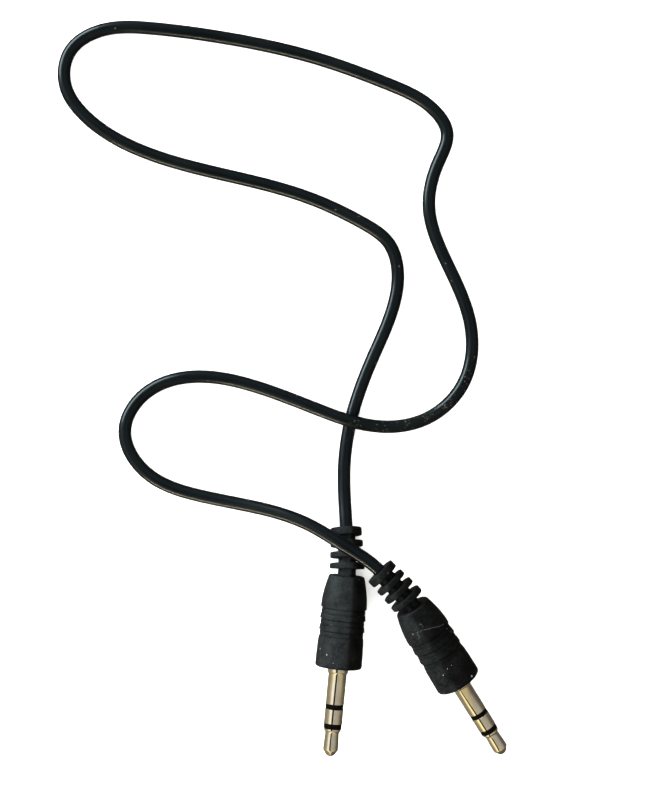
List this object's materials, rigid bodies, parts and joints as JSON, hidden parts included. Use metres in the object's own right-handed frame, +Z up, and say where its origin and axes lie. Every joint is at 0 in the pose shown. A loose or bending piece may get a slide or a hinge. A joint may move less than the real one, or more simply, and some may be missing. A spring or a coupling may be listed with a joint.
{
  "type": "stereo patch lead",
  "caption": "Short thin black stereo audio lead lying in loose loops, with a straight moulded 3.5 mm jack plug and a finned strain relief at each end",
  "frame": {"origin": "on the surface that the lead lies on (z = 0), below the middle of the box around the two plugs without the cord", "axes": "+Z up from the surface; the plugs' tips point towards -Y and the cord lies behind them towards +Y; +X to the right when the tips point to the viewer"},
  "size_m": [0.0863, 0.141, 0.0111],
  "materials": {
    "black_moulding": "matte",
    "black_jacket": "satin",
    "nickel": "polished",
    "tinned_brass": "satin",
    "band_plastic": "satin",
    "block_plastic": "matte",
    "red_insulation": "satin",
    "white_insulation": "satin",
    "bare_copper": "satin",
    "solder": "satin"
  },
  "bodies": {
    "root": {"tip_contact_a": "nickel", "tip_insulator_a": "band_plastic", "ring_contact_a": "nickel", "ring_insulator_a": "band_plastic", "sleeve_contact_a": "nickel", "ground_terminal_a": "tinned_brass", "base_washer_a": "block_plastic", "ring_terminal_a": "tinned_brass", "tip_washer_a": "block_plastic", "tip_terminal_a": "tinned_brass", "inner_block_a": "block_plastic", "overmould_a": "black_moulding", "screen_wire_a": "bare_copper", "right_core_a": "red_insulation", "left_core_a": "white_insulation", "screen_solder_a": "solder", "right_solder_a": "solder", "left_solder_a": "solder", "tip_contact_b": "nickel", "tip_insulator_b": "band_plastic", "ring_contact_b": "nickel", "ring_insulator_b": "band_plastic", "sleeve_contact_b": "nickel", "ground_terminal_b": "tinned_brass", "base_washer_b": "block_plastic", "ring_terminal_b": "tinned_brass", "tip_washer_b": "block_plastic", "tip_terminal_b": "tinned_brass", "inner_block_b": "block_plastic", "overmould_b": "black_moulding", "screen_wire_b": "bare_copper", "right_core_b": "red_insulation", "left_core_b": "white_insulation", "screen_solder_b": "solder", "right_solder_b": "solder", "left_solder_b": "solder", "cord_jacket": "black_jacket"}
  },
  "joints": []
}
